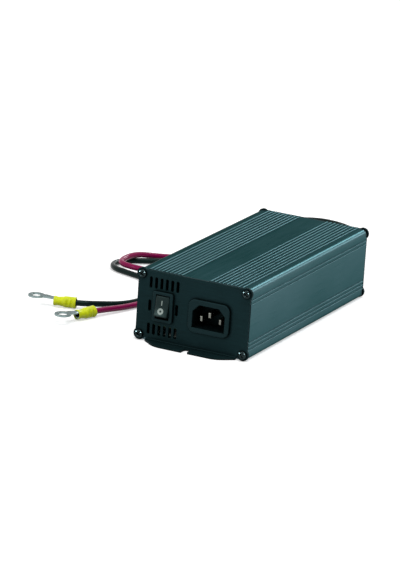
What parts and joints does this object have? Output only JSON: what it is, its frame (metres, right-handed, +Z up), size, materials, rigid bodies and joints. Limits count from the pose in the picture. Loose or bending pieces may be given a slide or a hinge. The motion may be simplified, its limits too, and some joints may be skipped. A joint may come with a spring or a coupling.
{
  "type": "car battery charger",
  "caption": "Mains battery charger in a ribbed extruded case with end plates, rocker switch, mains inlet, fan and two leads that end in ring terminals.",
  "frame": {"origin": "centre of the footprint of the case and its flanges, on the surface it stands on", "axes": "+X to the right as seen from the front, -Y out of the front plate with the switch and inlet, +Z up"},
  "size_m": [0.1814, 0.2341, 0.0506],
  "materials": {
    "anodised_case": "satin teal-grey anodised",
    "end_plate": "satin dark",
    "fastener": "satin blackened",
    "black_plastic": "fine texture",
    "rocker_plastic": "gloss",
    "contact_metal": "bright nickel plate",
    "tinned_copper": "tinned",
    "red_jacket": "satin",
    "black_jacket": "satin",
    "yellow_sleeve": "satin",
    "bush_rubber": "matt",
    "board_laminate": "gloss",
    "clear_film": "satin",
    "lamp_resin": "clear",
    "ceramic": "gloss",
    "film_yellow": "satin",
    "ferrite": "matt",
    "enamelled_wire": "gloss",
    "sleeve_film": "gloss",
    "sink_metal": "brushed",
    "epoxy": "matt",
    "brown_wire": "satin",
    "blue_wire": "satin",
    "green_wire": "satin"
  },
  "bodies": {
    "case": {"housing_shell": "anodised_case", "front_plate": "end_plate", "rear_plate": "end_plate", "front_plate_screws": "fastener", "rear_plate_screws": "fastener", "fan_screws": "fastener", "inlet_body": "black_plastic", "inlet_blades": "contact_metal", "switch_body": "black_plastic", "switch_tabs": "contact_metal", "fan_frame": "black_plastic", "status_lamp": "lamp_resin", "lamp_leads": "tinned_copper", "circuit_board": "board_laminate", "insulating_sheet": "clear_film", "mains_fuse": "ceramic", "fuse_clips": "contact_metal", "filter_capacitor": "film_yellow", "filter_choke_core": "ferrite", "filter_choke_coils": "enamelled_wire", "reservoir_capacitor": "sleeve_film", "primary_heat_sink": "sink_metal", "bridge_rectifier": "epoxy", "power_transistors": "epoxy", "transformer_core": "ferrite", "transformer_winding": "film_yellow", "output_heat_sink": "sink_metal", "output_rectifiers": "epoxy", "output_choke_core": "ferrite", "output_choke_winding": "enamelled_wire", "output_capacitors": "sleeve_film", "control_chips": "epoxy", "output_posts": "contact_metal", "positive_bush": "bush_rubber", "negative_bush": "bush_rubber", "positive_inner_lead": "red_jacket", "negative_inner_lead": "black_jacket", "positive_lead": "red_jacket", "negative_lead": "black_jacket", "positive_ring_terminal": "tinned_copper", "negative_ring_terminal": "tinned_copper", "positive_terminal_sleeve": "yellow_sleeve", "negative_terminal_sleeve": "yellow_sleeve", "live_wire": "brown_wire", "switched_wire": "brown_wire", "neutral_wire": "blue_wire", "earth_wire": "green_wire"},
    "rocker": {"switch_rocker": "rocker_plastic", "switch_plunger": "black_plastic"},
    "contact": {"switch_contact": "contact_metal"},
    "rotor": {"fan_rotor": "black_plastic"}
  },
  "joints": [
    {"name": "rocker_press", "type": "hinge", "parent": "case", "child": "rocker", "pos_m": [-0.0218, -0.093, 0.026], "axis": [1, 0, 0], "range_deg": [0, 24]},
    {"name": "contact_tilt", "type": "hinge", "parent": "case", "child": "contact", "pos_m": [-0.0218, -0.0862, 0.026], "axis": [1, 0, 0], "range_deg": [-8, 0]},
    {"name": "fan_spin", "type": "hinge", "parent": "case", "child": "rotor", "pos_m": [-0.0165, 0.0875, 0.0253], "axis": [0, 1, 0], "continuous": true}
  ],
  "couplings": [
    {"joint": "contact_tilt", "follows": "rocker_press", "ratio": -0.33333}
  ]
}
